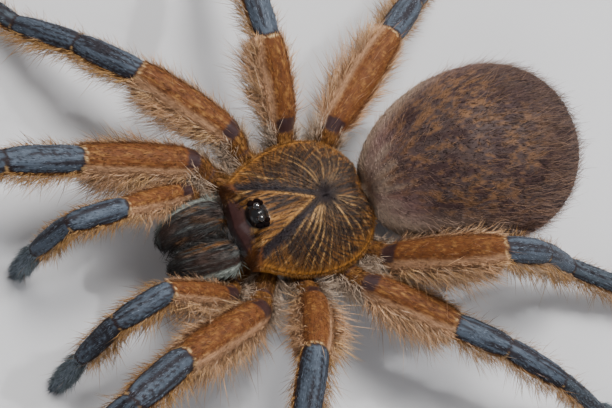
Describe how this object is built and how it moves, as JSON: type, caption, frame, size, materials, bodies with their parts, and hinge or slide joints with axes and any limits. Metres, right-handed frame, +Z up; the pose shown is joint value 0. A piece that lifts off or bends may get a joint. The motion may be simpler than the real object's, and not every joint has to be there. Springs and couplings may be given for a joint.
{
  "type": "tarantula",
  "caption": "Life-size standing tarantula with a round hairy abdomen, orange-brown thighs, blue-grey lower legs and a gold-streaked dark shield, legs spread",
  "frame": {"origin": "middle of the whole model's box, on the floor it stands on", "axes": "+Z up, the spider faces -Y, and +X is its own left"},
  "size_m": [0.0772, 0.0924, 0.0199],
  "materials": {
    "carapace": "dark purple-brown shield with short gold hair in streaks",
    "abdomen": "velvety dark brown hair mottled with orange-brown",
    "jaw": "combed blackish hair with a gold sheen",
    "fang": "polished black-brown horn",
    "eye": "wet black lens",
    "orange": "rusty orange hair lying along the thigh",
    "blue": "metallic blue-grey velvet with bare stripes",
    "root": "brown cuticle under shaggy beige hair"
  },
  "bodies": {
    "root": {"carapace": "carapace", "eye_front_left": "eye", "eye_front_right": "eye", "eyes_flank_left": "eye", "eyes_flank_right": "eye", "sternum": "root", "chelicera_left": "jaw", "chelicera_right": "jaw", "fang_left": "fang", "fang_right": "fang", "abdomen": "abdomen", "spinnerets": "abdomen", "palp_left_coxa": "root", "palp_left_femur": "orange", "palp_left_patella": "blue", "palp_left_foot": "blue", "palp_right_coxa": "root", "palp_right_femur": "orange", "palp_right_patella": "blue", "palp_right_foot": "blue", "leg1_left_coxa": "root", "leg1_left_femur": "orange", "leg1_left_patella": "blue", "leg1_left_tibia": "blue", "leg1_left_foot": "blue", "leg1_right_coxa": "root", "leg1_right_femur": "orange", "leg1_right_patella": "blue", "leg1_right_tibia": "blue", "leg1_right_foot": "blue", "leg2_left_coxa": "root", "leg2_left_femur": "orange", "leg2_left_patella": "blue", "leg2_left_tibia": "blue", "leg2_left_foot": "blue", "leg2_right_coxa": "root", "leg2_right_femur": "orange", "leg2_right_patella": "blue", "leg2_right_tibia": "blue", "leg2_right_foot": "blue", "leg3_left_coxa": "root", "leg3_left_femur": "orange", "leg3_left_patella": "blue", "leg3_left_tibia": "blue", "leg3_left_foot": "blue", "leg3_right_coxa": "root", "leg3_right_femur": "orange", "leg3_right_patella": "blue", "leg3_right_tibia": "blue", "leg3_right_foot": "blue", "leg4_left_coxa": "root", "leg4_left_femur": "orange", "leg4_left_patella": "blue", "leg4_left_tibia": "blue", "leg4_left_foot": "blue", "leg4_right_coxa": "root", "leg4_right_femur": "orange", "leg4_right_patella": "blue", "leg4_right_tibia": "blue", "leg4_right_foot": "blue"}
  },
  "joints": []
}
